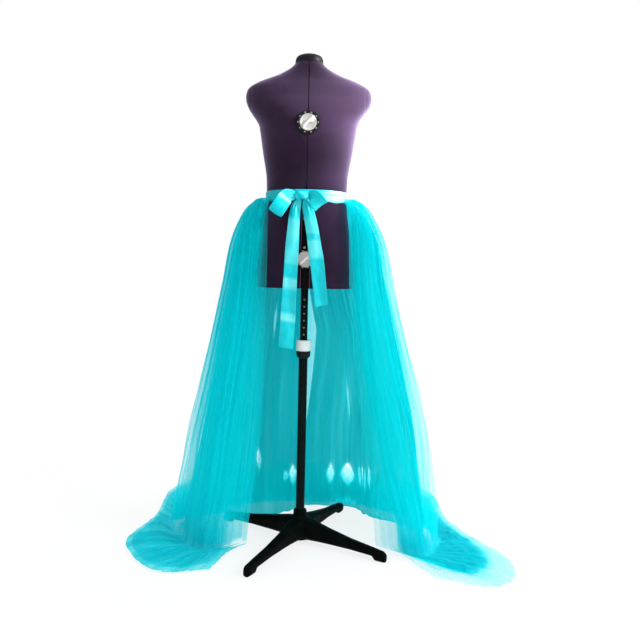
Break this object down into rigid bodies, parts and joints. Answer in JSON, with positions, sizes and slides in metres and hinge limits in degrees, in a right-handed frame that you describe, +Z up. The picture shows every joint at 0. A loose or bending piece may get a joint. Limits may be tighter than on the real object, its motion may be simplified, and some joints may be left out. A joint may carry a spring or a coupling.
{
  "type": "tulle overskirt on a dress form",
  "caption": "Open-front, floor-length tulle overskirt with a train, tied with a satin ribbon bow round an adjustable limbless dress form on a pole stand with cast feet.",
  "frame": {"origin": "on the floor, under the middle of the whole object's box", "axes": "+Z up; -Y to the front, where the skirt is open and the bow hangs; +X to the right of a viewer who stands in front"},
  "size_m": [1.1588, 1.0691, 1.5373],
  "materials": {
    "tulle": "fine hexagonal net, see-through, soft",
    "tulle_dense": "several gathered layers of the same net, nearly closed",
    "satin": "glossy satin ribbon",
    "jersey": "dark plum knitted cover with a faint nap",
    "black_plastic": "moulded, fine grain",
    "silver": "silver lacquer, slightly worn",
    "white_plastic": "moulded, satin",
    "black_paint": "black enamel on steel tube",
    "cast_iron": "black paint on a rough casting"
  },
  "bodies": {
    "root": {"waistband": "satin", "tulle_outer_left_front": "tulle", "tulle_outer_left_side": "tulle", "tulle_outer_left_back": "tulle", "tulle_outer_right_back": "tulle", "tulle_outer_right_side": "tulle", "tulle_outer_right_front": "tulle", "tulle_inner_left_front": "tulle_dense", "tulle_inner_left_side": "tulle_dense", "tulle_inner_left_back": "tulle_dense", "tulle_inner_right_back": "tulle_dense", "tulle_inner_right_side": "tulle_dense", "tulle_inner_right_front": "tulle_dense", "bow_knot": "satin", "bow_loop_left": "satin", "bow_loop_right": "satin", "bow_tail_left": "satin", "bow_tail_right": "satin", "torso": "jersey", "neck_cap": "black_plastic", "chest_bezel": "black_plastic", "hip_bezel": "black_plastic", "pole_upper": "black_paint", "clamp_ring": "white_plastic", "clamp_collar": "black_plastic", "pole_lower": "black_paint", "base": "cast_iron"},
    "chest_adjuster": {"chest_dial": "silver"},
    "hip_adjuster": {"hip_dial": "silver"}
  },
  "joints": [
    {"name": "chest_dial_turn", "type": "hinge", "parent": "root", "child": "chest_adjuster", "pos_m": [-0.0391, -0.372, 1.298], "axis": [0, 1, 0], "range_deg": [0, 270]},
    {"name": "hip_dial_turn", "type": "hinge", "parent": "root", "child": "hip_adjuster", "pos_m": [-0.0391, -0.367, 0.888], "axis": [0, 1, 0], "range_deg": [0, 270]}
  ]
}
